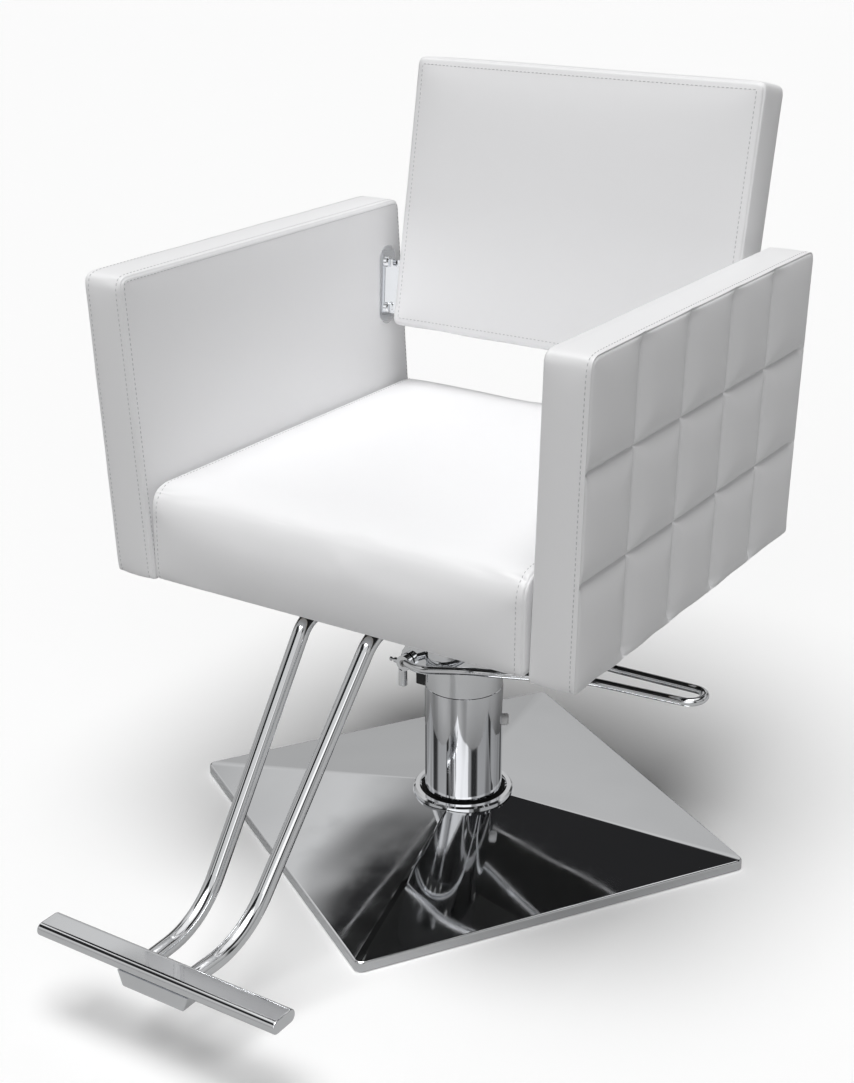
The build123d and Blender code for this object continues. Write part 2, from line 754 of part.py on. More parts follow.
def main():
    os.makedirs("parts", exist_ok=True)
    for make in SINGLE:
        export_step(make(), f"parts/{make.__name__}.step")
    for make in PAIRS:
        shape = make()
        export_step(shape, f"parts/{make.__name__}.step")
        left_name = make.__name__.replace("right_", "left_")
        export_step(mirrored(shape), f"parts/{left_name}.step")


main()
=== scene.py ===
import json
import math

import bpy
import numpy as np
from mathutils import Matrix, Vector


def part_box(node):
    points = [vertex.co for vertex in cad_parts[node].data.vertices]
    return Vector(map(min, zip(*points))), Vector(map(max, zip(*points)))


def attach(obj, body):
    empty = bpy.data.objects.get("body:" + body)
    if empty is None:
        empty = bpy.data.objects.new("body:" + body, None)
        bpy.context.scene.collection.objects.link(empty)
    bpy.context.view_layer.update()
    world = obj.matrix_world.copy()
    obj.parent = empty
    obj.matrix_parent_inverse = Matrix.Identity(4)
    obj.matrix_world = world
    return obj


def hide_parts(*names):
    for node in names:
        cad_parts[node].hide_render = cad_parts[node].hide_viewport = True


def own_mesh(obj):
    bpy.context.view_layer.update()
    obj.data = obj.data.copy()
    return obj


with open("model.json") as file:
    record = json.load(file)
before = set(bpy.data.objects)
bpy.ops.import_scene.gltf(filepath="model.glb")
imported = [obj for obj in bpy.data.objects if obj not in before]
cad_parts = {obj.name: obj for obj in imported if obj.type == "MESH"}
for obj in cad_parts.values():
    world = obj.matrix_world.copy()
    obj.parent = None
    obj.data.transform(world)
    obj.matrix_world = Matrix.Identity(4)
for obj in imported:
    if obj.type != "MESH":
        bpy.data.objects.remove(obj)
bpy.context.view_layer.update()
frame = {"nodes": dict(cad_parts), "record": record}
NODES = frame["nodes"]
MM = 0.001

# The arms lean out: how much narrower each face stands at the bottom than at the top
FLARE_INNER = 15 * MM
FLARE_OUTER = 12.5 * MM
FLARE_FRONT = 10.5 * MM
FLARE_BACK = 12 * MM
BACK_TILT = math.radians(10.7)
BACK_THICK = 60 * MM
BACK_HEIGHT = 343 * MM

# Rounding of each cushion: upper corners, lower corners and the edges of its outline
ARM_ROUNDING = (13 * MM, 5 * MM, 4.5 * MM)
SEAT_ROUNDING = (28 * MM, 7 * MM, 8 * MM)
BACK_ROUNDING = (10 * MM, 10 * MM, 6 * MM)

# Crown of each face before the cloth is run
SEAT_TOP_CROWN = 4 * MM
SEAT_FRONT_CROWN = 3 * MM
BACK_FRONT_CROWN = 5 * MM
BACK_REAR_CROWN = 2 * MM

# Recess under the seat that shows the black dust cover, and the rim left round it
RECESS_DEPTH = 5 * MM
RECESS_RIM = 8.5 * MM
RECESS_FRONT_RIM = 12.5 * MM

# Quilted panels: seams pull a channel into the foam, which fades with distance from the line
QUILT_COLUMNS = 5
QUILT_ROWS = 3
QUILT_DEPTH = 10 * MM
QUILT_SLOPE = 8 * MM
QUILT_MARGIN = 10 * MM
PANEL_GATHER = 2 * MM
PANEL_GATHER_REACH = 25 * MM

# Cloth: air pressure inside each cushion, and how far it may push the cover out
ARM_PRESSURE = 4.0
ARM_SWELL = 3.5 * MM
PAD_PRESSURE = 2.5
PAD_SWELL = 5 * MM
CLOTH_FRAMES = 20

# How far seams pull the finished cover in, and the height of the waves left in the leatherette
ARM_SEAM_PULL = 1.5 * MM
PAD_SEAM_PULL = 1.8 * MM
QUILT_SEAM_PULL = 2 * MM
STITCH_PULL = 0.5 * MM
ARM_WAVES = 0.35 * MM
PAD_WAVES = 0.5 * MM

# Grid: usual spacing, and the closer lines beside box edges and quilting seams
FINE_STEP = 9 * MM
COARSE_STEP = 11 * MM
STITCH_INSET = 10 * MM
PANEL_ROW_INSET = 5 * MM
EDGE_LINES = (0, 2.2 * MM, 5 * MM, STITCH_INSET, 14 * MM)
SEAM_LINES = (-5 * MM, -1.8 * MM, 0, 1.8 * MM, 5 * MM)
ON_LINE = 1e-6

# Stitches: thread length, gap and radius
THREAD_LENGTH = 3.6 * MM
THREAD_GAP = 2.0 * MM
THREAD_RADIUS = 0.42 * MM
THREAD_SIDES = 6
# Rings of a thread: place along its length, width and lift as shares of its radius
THREAD_RINGS = (
    (-0.5, 0.25, -0.35), (-0.34, 0.9, 0.2), (0.0, 1.0, 0.45), (0.34, 0.9, 0.2), (0.5, 0.25, -0.35),
)

# Tubes with dark upright streaks painted in their colour, standing in for reflections that this
# room does not give; empty this for plain chrome
PAINTED_REFLECTION_TUBES = ("cover_tube",)

# Brightness of the room in reflections and as light on dull surfaces, and power of the lights;
# all were tuned until the main view's tones matched
ROOM_GLOSS = 1.0
ROOM_FILL = 0.1
SUN_POWER = 2.45
FRONT_POWER = 0.52

# Grey level of the floor as seen, and as a reflector under the chair
FLOOR_SEEN = 1.0
FLOOR_BOUNCE = 0.45
FLOOR_REACH = 12.0


# ---- Camera, light and floor ----------------------------------------------------------------

def make_camera():
    data = bpy.data.cameras.new("camera")
    data.sensor_width = 36
    data.lens = 59.86
    camera = bpy.data.objects.new("camera", data)
    bpy.context.scene.collection.objects.link(camera)
    camera.location = (1.0543, -1.7117, 1.1733)
    camera.rotation_euler = (math.radians(90 - 21.56), 0, math.radians(32.94))
    bpy.context.scene.camera = camera


def ramp(nodes, stops):
    """Colour ramp node with (position, grey level or colour) stops."""
    node = nodes.new("ShaderNodeValToRGB")
    elements = node.color_ramp.elements
    while len(elements) < len(stops):
        elements.new(0.5)
    for element, (position, value) in zip(elements, stops):
        element.position = position
        colour = value if isinstance(value, tuple) else (value, value, value)
        element.color = (*colour, 1)
    return node


def math_node(nodes, links, operation, a, b):
    node = nodes.new("ShaderNodeMath")
    node.operation = operation
    for socket, value in zip(node.inputs, (a, b)):
        if isinstance(value, (int, float)):
            socket.default_value = value
        else:
            links.new(value, socket)
    return node.outputs[0]


def ramped(nodes, links, source, stops):
    """The colour that a ramp gives for a source value."""
    node = ramp(nodes, stops)
    links.new(source, node.inputs[0])
    return node.outputs[0]


def scaled(nodes, links, value, factor, offset):
    """value times factor, plus offset."""
    result = math_node(nodes, links, "MULTIPLY_ADD", value, factor)
    result.node.inputs[2].default_value = offset
    return result


def mix_colour(nodes, links, factor, first, second, blend="MIX"):
    node = nodes.new("ShaderNodeMix")
    node.data_type = "RGBA"
    node.blend_type = blend
    links.new(factor, node.inputs[0])
    links.new(first, node.inputs[6])
    if isinstance(second, tuple):
        node.inputs[7].default_value = second
    else:
        links.new(second, node.inputs[7])
    return node.outputs[2]


def room_colour(nodes, links):
    """Room seen in reflections: brighter above, with dark upright bands round it, and a dark flag
    whose edges were placed so that the front of the base reflects it in the main view."""
    where = nodes.new("ShaderNodeTexCoord")
    split = nodes.new("ShaderNodeSeparateXYZ")
    links.new(where.outputs["Generated"], split.inputs[0])
    half_z = scaled(nodes, links, split.outputs["Z"], 0.5, 0.5)
    turn = math_node(nodes, links, "ARCTAN2", split.outputs["Y"], split.outputs["X"])
    part = scaled(nodes, links, turn, 1 / (2 * math.pi), 0.5)
    height = ramped(nodes, links, half_z, [
        (0.0, 0.4), (0.5, 0.34), (0.59, 0.38), (0.66, 0.47), (0.81, 0.66), (1.0, 1.0),
    ])
    bands = ramped(nodes, links, part, [
        (0.0, 1.0), (0.06, 1.0), (0.075, 0.12), (0.10, 0.12), (0.115, 1.0), (0.19, 1.1),
        (0.20, 0.05), (0.215, 0.05), (0.225, 1.0), (0.30, 1.2), (0.40, 0.9), (0.41, 0.08),
        (0.44, 0.08), (0.45, 1.0), (0.56, 0.8), (0.57, 0.1), (0.58, 0.1), (0.59, 1.0),
        (0.70, 0.7), (0.71, 0.2), (0.735, 0.2), (0.75, 1.0), (0.88, 1.1), (0.89, 0.15),
        (0.93, 0.15), (0.94, 1.0), (1.0, 1.0),
    ])
    fade = ramped(nodes, links, half_z, [
        (0.0, 0.0), (0.48, 0.0), (0.5, 1.0), (0.68, 1.0), (0.8, 0.0), (1.0, 0.0),
    ])
    banded = mix_colour(nodes, links, fade, height, bands, "MULTIPLY")
    slant = math_node(nodes, links, "ADD", scaled(nodes, links, part, -1.47, 1.0), half_z)
    across = ramped(nodes, links, slant, [(0.492, 0.0), (0.505, 1.0)])
    upward = ramped(nodes, links, half_z, [
        (0.0, 0.0), (0.775, 0.0), (0.80, 1.0), (0.9, 1.0), (0.93, 0.0), (1.0, 0.0),
    ])
    flag = math_node(nodes, links, "MULTIPLY", across, upward)
    return mix_colour(nodes, links, flag, banded, (0.02, 0.02, 0.021, 1))


def make_world():
    """Not one plain light: white seen directly, a dim even fill on dull surfaces, and the banded
    and flagged room in reflections."""
    world = bpy.data.worlds.new("studio")
    bpy.context.scene.world = world
    world.use_nodes = True
    nodes, links = world.node_tree.nodes, world.node_tree.links
    nodes.clear()
    room = background(nodes, ROOM_GLOSS)
    links.new(room_colour(nodes, links), room.inputs["Color"])
    fill = background(nodes, ROOM_FILL)
    white = background(nodes, 1.0)
    path = nodes.new("ShaderNodeLightPath")
    lit = mix_shader(nodes, links, path.outputs["Is Diffuse Ray"], room, fill)
    shown = mix_shader(nodes, links, path.outputs["Is Camera Ray"], lit, white)
    out = nodes.new("ShaderNodeOutputWorld")
    links.new(shown.outputs[0], out.inputs[0])


def background(nodes, strength):
    node = nodes.new("ShaderNodeBackground")
    node.inputs["Color"].default_value = (1, 1, 1, 1)
    node.inputs["Strength"].default_value = strength
    return node


def mix_shader(nodes, links, factor, first, second):
    node = nodes.new("ShaderNodeMixShader")
    links.new(factor, node.inputs[0])
    links.new(first.outputs[0], node.inputs[1])
    links.new(second.outputs[0], node.inputs[2])
    return node


def soft_sun(name, power, spread, heading):
    data = bpy.data.lights.new(name, "SUN")
    data.energy = power
    data.angle = math.radians(spread)
    lamp = bpy.data.objects.new(name, data)
    lamp.rotation_euler = Vector(heading).to_track_quat("-Z", "Y").to_euler()
    bpy.context.scene.collection.objects.link(lamp)


def make_lights():
    """A very large soft source above and a weaker one in front."""
    soft_sun("key_light", SUN_POWER, 40, (-0.03, 0.2, -1))
    soft_sun("front_light", FRONT_POWER, 60, (-0.35, 0.85, -0.6))


def diffuse(nodes, grey):
    node = nodes.new("ShaderNodeBsdfDiffuse")
    node.inputs["Color"].default_value = (grey, grey, grey, 1)
    return node


def make_floor():
    """Pale floor with two tones: white as seen, grey as a reflector under the chair."""
    mesh = bpy.data.meshes.new("floor")
    corners = [(x * FLOOR_REACH, y * FLOOR_REACH, 0) for x, y in ((-1, -1), (1, -1), (1, 1), (-1, 1))]
    mesh.from_pydata(corners, [], [(0, 1, 2, 3)])
    floor = bpy.data.objects.new("floor", mesh)
    bpy.context.scene.collection.objects.link(floor)
    material = bpy.data.materials.new("floor_white")
    material.use_nodes = True
    nodes, links = material.node_tree.nodes, material.node_tree.links
    nodes.clear()
    seen = diffuse(nodes, FLOOR_SEEN)
    bounced = diffuse(nodes, FLOOR_BOUNCE)
    path = nodes.new("ShaderNodeLightPath")
    surface = mix_shader(nodes, links, path.outputs["Is Camera Ray"], bounced, seen)
    out = nodes.new("ShaderNodeOutputMaterial")
    links.new(surface.outputs[0], out.inputs["Surface"])
    mesh.materials.append(material)


# ---- Materials ------------------------------------------------------------------------------

def new_material(name):
    material = bpy.data.materials.new(name)
    material.use_nodes = True
    tree = material.node_tree
    return material, tree.nodes, tree.links, tree.nodes["Principled BSDF"]


def object_noise(nodes, links, scale, detail=2.0, stretch=(1, 1, 1)):
    """Noise in the object's own space, in features per metre."""
    where = nodes.new("ShaderNodeTexCoord")
    place = nodes.new("ShaderNodeMapping")
    place.inputs["Scale"].default_value = stretch
    links.new(where.outputs["Object"], place.inputs[0])
    noise = nodes.new("ShaderNodeTexNoise")
    noise.inputs["Scale"].default_value = scale
    noise.inputs["Detail"].default_value = detail
    links.new(place.outputs[0], noise.inputs["Vector"])
    return noise.outputs["Fac"]


def bump(nodes, links, height, distance, strength, after=None):
    node = nodes.new("ShaderNodeBump")
    node.inputs["Distance"].default_value = distance
    node.inputs["Strength"].default_value = strength
    links.new(height, node.inputs["Height"])
    if after:
        links.new(after, node.inputs["Normal"])
    return node.outputs["Normal"]


def leatherette():
    """White grained artificial leather: pebble grain over faint mottling."""
    _, nodes, links, shader = new_material("white_leatherette")
    mottle = object_noise(nodes, links, 9, 3)
    tone = ramped(nodes, links, mottle, [(0.3, (0.845, 0.845, 0.85)), (0.7, (0.875, 0.875, 0.88))])
    links.new(tone, shader.inputs["Base Color"])
    where = nodes.new("ShaderNodeTexCoord")
    pebbles = nodes.new("ShaderNodeTexVoronoi")
    pebbles.feature = "DISTANCE_TO_EDGE"
    pebbles.inputs["Scale"].default_value = 900
    links.new(where.outputs["Object"], pebbles.inputs["Vector"])
    grain = ramped(nodes, links, pebbles.outputs["Distance"], [(0.0, 0.0), (0.12, 0.75), (0.5, 1.0)])
    soft = object_noise(nodes, links, 60, 4)
    first = bump(nodes, links, soft, 0.0006, 0.35)
    links.new(bump(nodes, links, grain, 0.00012, 0.5, first), shader.inputs["Normal"])
    links.new(ramped(nodes, links, soft, [(0.3, 0.40), (0.7, 0.50)]), shader.inputs["Roughness"])
    shader.inputs["Specular IOR Level"].default_value = 0.45
    shader.inputs["Sheen Weight"].default_value = 0.05
    shader.inputs["Sheen Roughness"].default_value = 0.4


def dull(name, noise, tones, relief, roughness):
    """Matt surface: one noise, given as scale, detail and stretch, tints it and roughens it."""
    material, nodes, links, shader = new_material(name)
    figure = object_noise(nodes, links, *noise)
    links.new(ramped(nodes, links, figure, tones), shader.inputs["Base Color"])
    links.new(bump(nodes, links, figure, *relief), shader.inputs["Normal"])
    shader.inputs["Roughness"].default_value = roughness
    return material


def chrome(name, tint, waviness, scale=7, stretch=(1, 1, 1), streak=0.97):
    """Chrome plating: faint smudges, and waves in the sheet as bumps; along the waves the base colour
    drops to streak times as bright, which paints reflection streaks into it.
    """
    material, nodes, links, shader = new_material(name)
    shader.inputs["Metallic"].default_value = 1.0
    smudge = object_noise(nodes, links, 22, 5)
    wave = object_noise(nodes, links, scale, 1, stretch)
    # Dark streaks painted into the base colour along the waves stand in for reflections
    tone = ramped(nodes, links, wave, [(0.38, tuple(streak * c for c in tint)), (0.55, tint)])
    links.new(tone, shader.inputs["Base Color"])
    links.new(ramped(nodes, links, smudge, [(0.4, 0.03), (0.75, 0.09)]), shader.inputs["Roughness"])
    links.new(bump(nodes, links, wave, waviness, 0.3), shader.inputs["Normal"])
    return material


def brushed_metal(name, dark, light, roughness, scale=160, stretch=(1, 1, 0.05)):
    """Machined or plated metal with fine tool marks."""
    material, nodes, links, shader = new_material(name)
    shader.inputs["Metallic"].default_value = 1.0
    marks = object_noise(nodes, links, scale, 4, stretch)
    links.new(ramped(nodes, links, marks, [(0.3, dark), (0.7, light)]), shader.inputs["Base Color"])
    gloss = ramped(nodes, links, marks, [(0.3, roughness * 0.8), (0.7, roughness * 1.3)])
    links.new(gloss, shader.inputs["Roughness"])
    links.new(bump(nodes, links, marks, 0.0002, 0.25), shader.inputs["Normal"])
    return material


def coated(name, dark, light, roughness, scale, depth):
    """Paint, rubber, plastic or cast skin with a fine random texture."""
    material, nodes, links, shader = new_material(name)
    speckle = object_noise(nodes, links, scale, 4)
    tone = ramped(nodes, links, speckle, [(0.35, dark), (0.65, light)])
    links.new(tone, shader.inputs["Base Color"])
    gloss = ramped(nodes, links, speckle, [(0.3, roughness * 0.85), (0.7, min(1.0, roughness * 1.15))])
    links.new(gloss, shader.inputs["Roughness"])
    links.new(bump(nodes, links, speckle, depth, 0.4), shader.inputs["Normal"])
    return material


def grey(level):
    return level, level, level


def dress_cad_nodes():
    """Gives every carried-over node the material of its record slot, except the listed tubes, which
    get chrome with dark reflection streaks painted into its colour.
    """
    finishes = {
        "chrome": chrome("polished_chrome", (0.86, 0.87, 0.885), 1.8 * MM),
        "black_steel": coated("black_paint", grey(0.012), grey(0.025), 0.45, 300, 0.0002),
        "machined_steel": brushed_metal("machined_steel", grey(0.42), grey(0.62), 0.3),
        "zinc_fasteners": brushed_metal(
            "zinc_plate", (0.5, 0.5, 0.48), (0.7, 0.7, 0.68), 0.32, 90, (1, 1, 1)),
        "black_rubber": coated("black_rubber", grey(0.010), grey(0.022), 0.75, 700, 0.0002),
        "plywood": dull(
            "plywood_layers", (12, 5, (1, 0.12, 1)),
            [(0.3, (0.38, 0.25, 0.13)), (0.7, (0.62, 0.46, 0.28))], (0.0004, 0.4), 0.7),
        "bronze": brushed_metal("bronze", (0.42, 0.26, 0.10), (0.60, 0.40, 0.18), 0.35),
        "black_cast": coated("black_casting", grey(0.012), grey(0.03), 0.5, 420, 0.0005),
        "nylon": coated("nylon", (0.70, 0.69, 0.63), (0.80, 0.79, 0.73), 0.5, 300, 0.0001),
        "white_plastic": coated("white_plastic", grey(0.80), grey(0.88), 0.3, 200, 0.00005),
        "black_lining": dull(
            "black_lining", (500, 5), [(0.35, grey(0.006)), (0.65, grey(0.022))], (0.0003, 0.5), 0.9),
        "white_leatherette": bpy.data.materials["white_leatherette"],
    }
    # Chrome whose base colour carries dark upright streaks painted in as reflections, for the listed
    # tubes
    reflection_streak_chrome = chrome("painted_reflection_chrome", (0.84, 0.85, 0.87), 2.5 * MM, 70, (1, 1, 0.03), 0.45)
    for row in frame["record"]["subparts"]:
        finish = reflection_streak_chrome if row["node"] in PAINTED_REFLECTION_TUBES else finishes[row["material_slot"]]
        mesh = NODES[row["node"]].data
        mesh.materials.clear()
        mesh.materials.append(finish)


# ---- Upholstery: closed box grids -----------------------------------------------------------

def grid_lines(half, step, marks=()):
    """Positions from -half to half: about a step apart, closer at the ends and round each mark."""
    wanted = [s * (half - d) for s in (-1, 1) for d in EDGE_LINES]
    for mark in marks:
        wanted += [mark + d for d in SEAM_LINES]
    wanted = sorted(p for p in wanted if abs(p) <= half)
    lines = [wanted[0]]
    for a, b in zip(wanted, wanted[1:]):
        count = max(1, round((b - a) / step))
        lines += [a + (b - a) * k / count for k in range(1, count + 1)]
    return lines


class BoxGrid:
    """Surface grid of a closed box. Keeps each vertex's place in the box, so that seams, quilting
    and stitch lines can be found again after the mesh has been shaped, simulated and subdivided."""

    def __init__(self, name, half, steps, marks=((), (), ())):
        self.name = name
        self.half = half
        self.lines = [grid_lines(h, s, m) for h, s, m in zip(half, steps, marks)]
        self.marks = marks
        self.index = {}
        self.faces = []
        self._make_faces()
        keys = list(self.index)
        self.box = np.array([[self.lines[a][k[a]] for a in range(3)] for k in keys])
        self.keys = np.array(keys)

    def _vertex(self, key):
        return self.index.setdefault(key, len(self.index))

    def _make_faces(self):
        counts = [len(line) - 1 for line in self.lines]
        for axis in range(3):
            b, c = (axis + 1) % 3, (axis + 2) % 3
            for end in (0, counts[axis]):
                for i in range(counts[b]):
                    for j in range(counts[c]):
                        corners = []
                        for di, dj in ((0, 0), (1, 0), (1, 1), (0, 1)):
                            key = [0, 0, 0]
                            key[axis], key[b], key[c] = end, i + di, j + dj
                            corners.append(self._vertex(tuple(key)))
                        self.faces.append(corners if end else corners[::-1])

    def on_face(self, axis, sign):
        end = len(self.lines[axis]) - 1 if sign > 0 else 0
        return self.keys[:, axis] == end

    def on_end(self, axis):
        return self.on_face(axis, 1) | self.on_face(axis, -1)

    def to_mark(self, axis):
        """Distance of each vertex from the nearest marked line across one axis."""
        distances = [np.abs(self.box[:, axis] - mark) for mark in self.marks[axis]]
        return np.min(distances, axis=0)

    def path(self, fixed, along, reverse=False):
        """Vertices in order along one grid line: fixed maps two axes to their positions."""
        key = [0, 0, 0]
        for axis, value in fixed.items():
            key[axis] = int(np.argmin(np.abs(np.array(self.lines[axis]) - value)))
        found = []
        for k in range(len(self.lines[along])):
            key[along] = k
            found.append(self.index[tuple(key)])
        return found[::-1] if reverse else found

    def make_object(self, points):
        mesh = bpy.data.meshes.new(self.name)
        mesh.from_pydata([tuple(p) for p in points], [], self.faces)
        mesh.update()
        obj = bpy.data.objects.new(self.name, mesh)
        bpy.context.scene.collection.objects.link(obj)
        return obj


def round_profile(box, half, axis, top, bottom, edge):
    """Rounds a box seen along an axis: its upper and lower corners, and the edges of its outline."""
    b, c = (axis + 1) % 3, (axis + 2) % 3
    out = box.copy()
    inset = np.minimum(half[b] - np.abs(box[:, b]), half[c] - np.abs(box[:, c]))
    depth = half[axis] - np.abs(box[:, axis])
    near = (inset < edge) & (depth < edge)
    d_in = np.where(near, edge - inset, 0.0)
    d_out = np.where(near, edge - depth, 0.0)
    length = np.where(near, np.hypot(d_in, d_out), 1.0)
    new_inset = np.where(near, edge - edge * d_in / length, inset)
    new_depth = np.where(near, edge - edge * d_out / length, depth)
    out[:, axis] = np.sign(box[:, axis]) * (half[axis] - new_depth)
    for k in (b, c):
        out[:, k] = box[:, k] * (half[k] - new_inset) / np.maximum(half[k] - inset, 1e-9)
    radius = np.where(box[:, 2] > 0, top, bottom)
    corner = np.stack([np.abs(out[:, k]) - (half[k] - radius) for k in (b, c)], 1)
    both = (corner > 0).all(1)
    length = np.maximum(np.linalg.norm(corner, axis=1), 1e-9)
    rounder = corner * (corner.max(1) / length)[:, None]
    for column, k in ((0, b), (1, c)):
        rounded = np.sign(out[:, k]) * (half[k] - radius + rounder[:, column])
        out[:, k] = np.where(both, rounded, out[:, k])
    return out


def smooth_noise(points, scale, seed):
    """Repeatable noise between -1 and 1, made of a few crossed waves."""
    waves = 6
    rng = np.random.default_rng(seed)
    total = np.zeros(len(points))
    for _ in range(waves):
        direction = rng.normal(size=3)
        direction *= scale * rng.uniform(0.6, 1.6) / np.linalg.norm(direction)
        total += np.sin(points @ direction + rng.uniform(0, 2 * math.pi))
    return total / waves


def vertex_normals(obj):
    normals = np.zeros(len(obj.data.vertices) * 3, np.float32)
    obj.data.vertices.foreach_get("normal", normals)
    return normals.reshape(-1, 3).astype(float)


def read_points(mesh):
    points = np.zeros(len(mesh.vertices) * 3, np.float32)
    mesh.vertices.foreach_get("co", points)
    return points.reshape(-1, 3).astype(float)


def write_points(obj, points):
    obj.data.vertices.foreach_set("co", points.astype(np.float32).ravel())
    obj.data.update()


def gather(distance, reach):
    """1 on a seam line, falling smoothly to 0 at reach."""
    t = np.clip(distance / reach, 0, 1)
    return (1 - t) ** 2 * (1 + 2 * t)


class Cushion:
    """One upholstered piece: a box grid, where it is pinned by seams, and how it is finished."""

    def __init__(self, grid, points, pinned, pressure, cap):
        self.grid = grid
        self.obj = grid.make_object(points)
        self.rest = points
        self.pinned = pinned
        self.pressure = pressure
        self.cap = cap

    def add_cloth(self):
        pins = self.obj.vertex_groups.new(name="seams")
        for index, weight in enumerate(self.pinned):
            if weight > 0.01:
                pins.add([index], float(weight), "REPLACE")
        cloth = self.obj.modifiers.new("cloth", "CLOTH")
        settings = cloth.settings
        settings.quality = 6
        settings.mass = 0.25
        settings.tension_stiffness = 12
        settings.compression_stiffness = 12
        settings.shear_stiffness = 6
        settings.bending_stiffness = 1.5
        settings.use_pressure = True
        settings.uniform_pressure_force = self.pressure
        settings.effector_weights.gravity = 0
        settings.vertex_group_mass = "seams"
        cloth.collision_settings.use_collision = False

    def apply_cloth(self):
        """Takes the simulated shape, limits how far each point went, and drops the modifier."""
        depsgraph = bpy.context.evaluated_depsgraph_get()
        moved = read_points(self.obj.evaluated_get(depsgraph).to_mesh())
        self.obj.modifiers.clear()
        self.obj.vertex_groups.clear()
        step = moved - self.rest
        length = np.maximum(np.linalg.norm(step, axis=1), 1e-9)
        limited = self.cap * np.tanh(length / self.cap)
        write_points(self.obj, self.rest + step * (limited / length)[:, None])

    def press(self, depth):
        """Moves each point inwards along its normal by depth."""
        points = read_points(self.obj.data)
        write_points(self.obj, points - vertex_normals(self.obj) * depth[:, None])

    def subdivide(self):
        modifier = self.obj.modifiers.new("subdivision", "SUBSURF")
        modifier.levels = modifier.render_levels = 1
        depsgraph = bpy.context.evaluated_depsgraph_get()
        mesh = bpy.data.meshes.new_from_object(self.obj.evaluated_get(depsgraph))
        self.obj.modifiers.clear()
        self.obj.data = mesh
        mesh.name = self.obj.name
        mesh.polygons.foreach_set("use_smooth", [True] * len(mesh.polygons))
        mesh.materials.clear()
        mesh.materials.append(bpy.data.materials["white_leatherette"])


def simulate(cushions):
    """Runs all the cloth together, once."""
    for cushion in cushions:
        cushion.add_cloth()
    scene = bpy.context.scene
    for number in range(CLOTH_FRAMES):
        scene.frame_set(number + 1)
    for cushion in cushions:
        cushion.apply_cloth()
    scene.frame_set(1)


# ---- Stitching ------------------------------------------------------------------------------

def resample(points, spacing):
    """Evenly spaced places along a run of points, with their directions."""
    steps = np.linalg.norm(np.diff(points, axis=0), axis=1)
    travelled = np.concatenate([[0], np.cumsum(steps)])
    count = int(travelled[-1] / spacing)
    at = (np.arange(count) + 0.5) * travelled[-1] / count

    def places_at(distances):
        return np.stack([np.interp(distances, travelled, points[:, k]) for k in range(3)], 1)

    nudge = 1e-4
    return places_at(at), places_at(at + nudge) - places_at(at - nudge)


def thread(place, forward, up):
    """Points of one short thread, ring by ring: a tapered capsule half sunk in the leatherette."""
    side = np.cross(forward, up)
    side /= np.linalg.norm(side)
    points = []
    for along, width, lift in THREAD_RINGS:
        centre = place + forward * along * THREAD_LENGTH + up * lift * THREAD_RADIUS
        for k in range(THREAD_SIDES):
            angle = 2 * math.pi * k / THREAD_SIDES
            offset = side * math.cos(angle) + up * math.sin(angle)
            points.append(tuple(centre + offset * width * THREAD_RADIUS))
    return points


def thread_faces(base):
    """Faces of a thread whose points start at base."""
    sides = range(THREAD_SIDES)
    faces = []
    for ring in range(len(THREAD_RINGS) - 1):
        a = base + ring * THREAD_SIDES
        b = a + THREAD_SIDES
        for k in sides:
            n = (k + 1) % THREAD_SIDES
            faces.append((a + k, a + n, b + n, b + k))
    faces.append(tuple(base + k for k in reversed(sides)))
    last = base + (len(THREAD_RINGS) - 1) * THREAD_SIDES
    faces.append(tuple(last + k for k in sides))
    return faces


def stitch_mesh(name, runs):
    """Rows of short threads along runs of points with their normals, as one piece on the seat."""
    vertices, faces = [], []
    for points, normals in runs:
        places, directions = resample(points, THREAD_LENGTH + THREAD_GAP)
        for place, direction in zip(places, directions):
            nearest = int(np.argmin(np.linalg.norm(points - place, axis=1)))
            up = normals[nearest] / np.linalg.norm(normals[nearest])
            forward = direction / np.linalg.norm(direction)
            faces += thread_faces(len(vertices))
            vertices += thread(place, forward, up)
    mesh = bpy.data.meshes.new(name)
    mesh.from_pydata(vertices, [], faces)
    mesh.polygons.foreach_set("use_smooth", [True] * len(mesh.polygons))
    mesh.materials.append(bpy.data.materials["stitch_thread"])
    obj = bpy.data.objects.new(name, mesh)
    bpy.context.scene.collection.objects.link(obj)
    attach(obj, "seat_unit")


def run_on(cushion, *paths):
    """Points and normals of the finished cushion along grid paths joined end to end."""
    indices = []
    for path in paths:
        indices += path if not indices else path[1:]
    points = read_points(cushion.obj.data)[indices]
    return points, vertex_normals(cushion.obj)[indices]


# ---- Arms -----------------------------------------------------------------------------------

def flare(points, low, high, side):
    """Leans an upright box, centred on the arm's own box, into the flared arm."""
    t = (points[:, 2] - low.z) / (high.z - low.z)
    x0 = low.x + FLARE_INNER * t
    x1 = high.x - FLARE_OUTER * (1 - t)
    y0 = low.y + FLARE_FRONT * (1 - t)
    y1 = high.y - FLARE_BACK * t
    u = (points[:, 0] - low.x) / (high.x - low.x)
    v = (points[:, 1] - low.y) / (high.y - low.y)
    return np.stack([side * (x0 + (x1 - x0) * u), y0 + (y1 - y0) * v, points[:, 2]], 1)


def quilt_marks(half, count):
    """Seam positions that divide a side into equal squares."""
    return [-half + 2 * half * k / count for k in range(1, count)]


